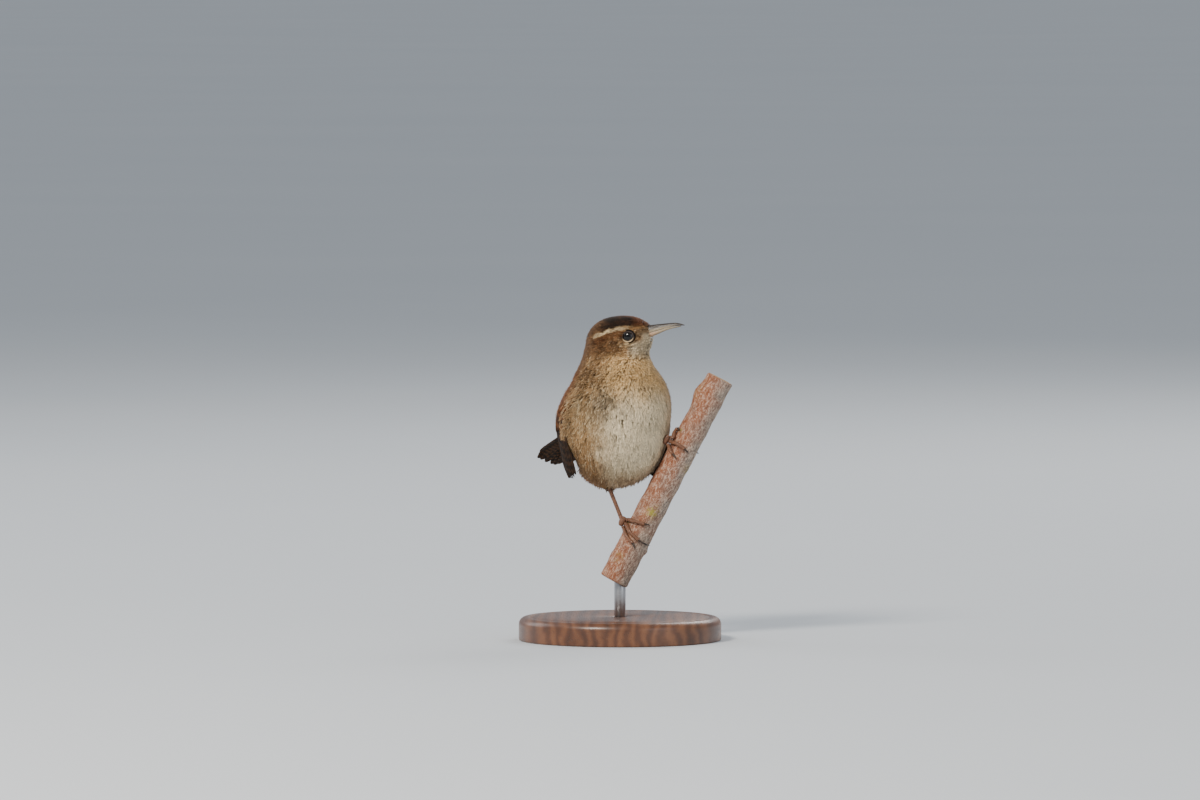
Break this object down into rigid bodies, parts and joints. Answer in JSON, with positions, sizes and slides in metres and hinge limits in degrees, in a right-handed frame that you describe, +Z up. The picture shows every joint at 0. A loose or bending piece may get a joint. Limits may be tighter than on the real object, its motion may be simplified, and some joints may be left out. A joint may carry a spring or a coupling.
{
  "type": "perched wren model",
  "caption": "Life-size still model of a wren gripping a slanted twig, held on a round wooden display base by a short rod.",
  "frame": {"origin": "centre of the flat underside of the display base, on the surface it stands on", "axes": "+Z up, -Y towards the side that the picture shows, +X to the right in the picture, the way the bill points"},
  "size_m": [0.0823, 0.0977, 0.1248],
  "materials": {
    "plumage": "soft barbed body feathers, matt",
    "flight_feathers": "stiff flight feathers, faint silky gloss",
    "bill_horn": "dark smooth horn",
    "bill_pale": "pale yellowish horn",
    "eye_glass": "wet dark brown, very glossy",
    "leg_scales": "fine horny scales, satin",
    "claw_horn": "dark smooth horn",
    "bark": "thin reddish bark with grey flaking streaks",
    "stand_wood": "turned hardwood, satin varnish",
    "stand_metal": "brushed"
  },
  "bodies": {
    "root": {"bill_lower": "bill_pale", "bill_upper": "bill_horn", "claw_hind_left": "claw_horn", "claw_hind_right": "claw_horn", "claw_inner_left": "claw_horn", "claw_inner_right": "claw_horn", "claw_middle_left": "claw_horn", "claw_middle_right": "claw_horn", "claw_outer_left": "claw_horn", "claw_outer_right": "claw_horn", "eye_left": "eye_glass", "eye_right": "eye_glass", "head": "plumage", "neck": "plumage", "perch": "bark", "stand_base": "stand_wood", "stand_rod": "stand_metal", "tail": "flight_feathers", "tarsus_left": "leg_scales", "tarsus_right": "leg_scales", "thigh_left": "plumage", "thigh_right": "plumage", "toe_hind_left": "leg_scales", "toe_hind_right": "leg_scales", "toe_inner_left": "leg_scales", "toe_inner_right": "leg_scales", "toe_middle_left": "leg_scales", "toe_middle_right": "leg_scales", "toe_outer_left": "leg_scales", "toe_outer_right": "leg_scales", "torso": "plumage", "wing_left": "flight_feathers", "wing_right": "flight_feathers"}
  },
  "joints": []
}
